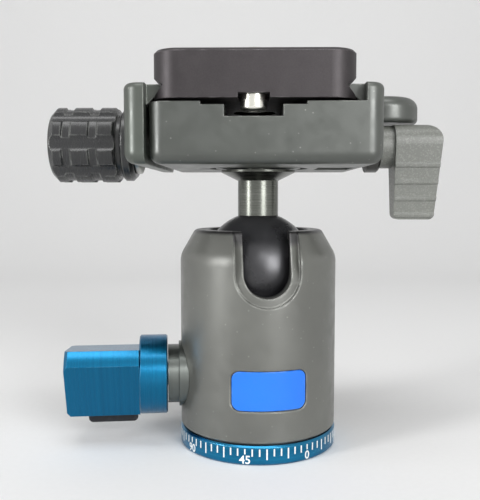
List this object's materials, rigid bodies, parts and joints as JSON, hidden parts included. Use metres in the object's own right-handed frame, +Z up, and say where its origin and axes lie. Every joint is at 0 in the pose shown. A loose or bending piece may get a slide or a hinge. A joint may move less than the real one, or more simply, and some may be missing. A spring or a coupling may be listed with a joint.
{
  "type": "tripod ball head",
  "caption": "Ball head with a panning base, a lock knob, a drop notch and a lever-and-knob clamp that holds a dovetail camera plate.",
  "frame": {"origin": "centre of the mouth of the tripod thread, on the base's underside", "axes": "+Z up the stem at rest, -Y the front of the clamp, +X the side of the clamp lever"},
  "size_m": [0.083, 0.05, 0.0857],
  "materials": {
    "teal_anodised": "satin anodised, turning lines",
    "base_metal": "black anodised",
    "steel_dark": "dark polished",
    "steel_bright": "polished",
    "painted_casting": "soft satin paint",
    "badge_blue": "gloss enamel",
    "polymer": "matt",
    "rubber": "matt",
    "ball_black": "gloss black",
    "knob_black": "black anodised, semi-gloss",
    "lever_black": "fine sparkle texture",
    "plate_anodised": "bead-blasted anodised",
    "vial": "clear"
  },
  "bodies": {
    "base": {"scale_ring": "teal_anodised", "base_core": "base_metal", "foot_ring": "rubber", "pan_washer": "polymer", "pan_nut": "steel_dark", "pan_spring": "steel_bright"},
    "housing": {"housing": "painted_casting", "badge": "badge_blue", "ball_seat": "polymer", "knob_bushing": "steel_dark"},
    "ball_cup": {"ball_cup": "polymer"},
    "pressure_pin": {"pressure_pin": "steel_bright"},
    "lock_knob": {"lock_knob": "teal_anodised", "knob_stud": "steel_bright", "knob_tab": "rubber"},
    "ball": {"ball": "ball_black"},
    "stem": {"stem": "steel_dark"},
    "clamp": {"clamp_base": "painted_casting", "level_vial": "vial", "key_screw": "steel_bright", "lever_seat": "steel_dark"},
    "lever": {"lever": "lever_black"},
    "tie_rod": {"tie_rod": "steel_bright"},
    "jaw": {"movable_jaw": "painted_casting", "guide_pins": "steel_bright"},
    "clamp_knob": {"clamp_knob": "knob_black", "knob_washer": "steel_bright"},
    "plate": {"release_plate": "plate_anodised", "plate_pads": "rubber", "stop_screw": "steel_bright"},
    "camera_screw": {"camera_screw": "steel_bright"}
  },
  "joints": [
    {"name": "pan_turn", "type": "hinge", "parent": "base", "child": "housing", "pos_m": [0, 0, 0.004], "axis": [0, 0, 1], "continuous": true},
    {"name": "knob_turn", "type": "hinge", "parent": "housing", "child": "lock_knob", "pos_m": [-0.02978, -0.00366, 0.01515], "axis": [-0.9925, -0.1219, 0], "range_deg": [0, 360]},
    {"name": "pin_slide", "type": "slide", "parent": "housing", "child": "pressure_pin", "axis": [-0.9925, -0.1219, 0], "range_m": [0, 0.001]},
    {"name": "cup_drop", "type": "slide", "parent": "housing", "child": "ball_cup", "axis": [0, 0, -1], "range_m": [0, 0.0003]},
    {"name": "ball_roll", "type": "hinge", "parent": "housing", "child": "ball", "pos_m": [0, 0, 0.0385], "axis": [0.1219, -0.9925, 0], "range_deg": [-20, 20]},
    {"name": "ball_tilt", "type": "hinge", "parent": "ball", "child": "stem", "pos_m": [0, 0, 0.0385], "axis": [0.9925, 0.1219, 0], "range_deg": [-25, 90]},
    {"name": "ball_spin", "type": "hinge", "parent": "stem", "child": "clamp", "pos_m": [0, 0, 0.06], "axis": [0, 0, 1], "continuous": true},
    {"name": "lever_turn", "type": "hinge", "parent": "clamp", "child": "lever", "pos_m": [0.027, 0, 0.0651], "axis": [1, 0, 0], "range_deg": [0, 90]},
    {"name": "rod_pull", "type": "slide", "parent": "clamp", "child": "tie_rod", "axis": [-1, 0, 0], "range_m": [0, 0.0015]},
    {"name": "jaw_open", "type": "slide", "parent": "tie_rod", "child": "jaw", "axis": [-1, 0, 0], "range_m": [0, 0.002]},
    {"name": "clamp_knob_turn", "type": "hinge", "parent": "jaw", "child": "clamp_knob", "pos_m": [-0.0372, 0, 0.0651], "axis": [-1, 0, 0], "range_deg": [0, 720]},
    {"name": "plate_slide", "type": "slide", "parent": "clamp", "child": "plate", "axis": [0, 1, 0], "range_m": [-0.02, 0.02]},
    {"name": "camera_screw_turn", "type": "hinge", "parent": "plate", "child": "camera_screw", "pos_m": [-0.0008, 0, 0.08], "axis": [0, 0, 1], "continuous": true}
  ],
  "couplings": [
    {"joint": "knob_turn", "follows": "pin_slide", "rad_per_m": 6283.2},
    {"joint": "cup_drop", "follows": "pin_slide", "ratio": 0.3},
    {"joint": "lever_turn", "follows": "rod_pull", "rad_per_m": 1047.2},
    {"joint": "clamp_knob_turn", "follows": "jaw_open", "rad_per_m": 6283.2}
  ]
}
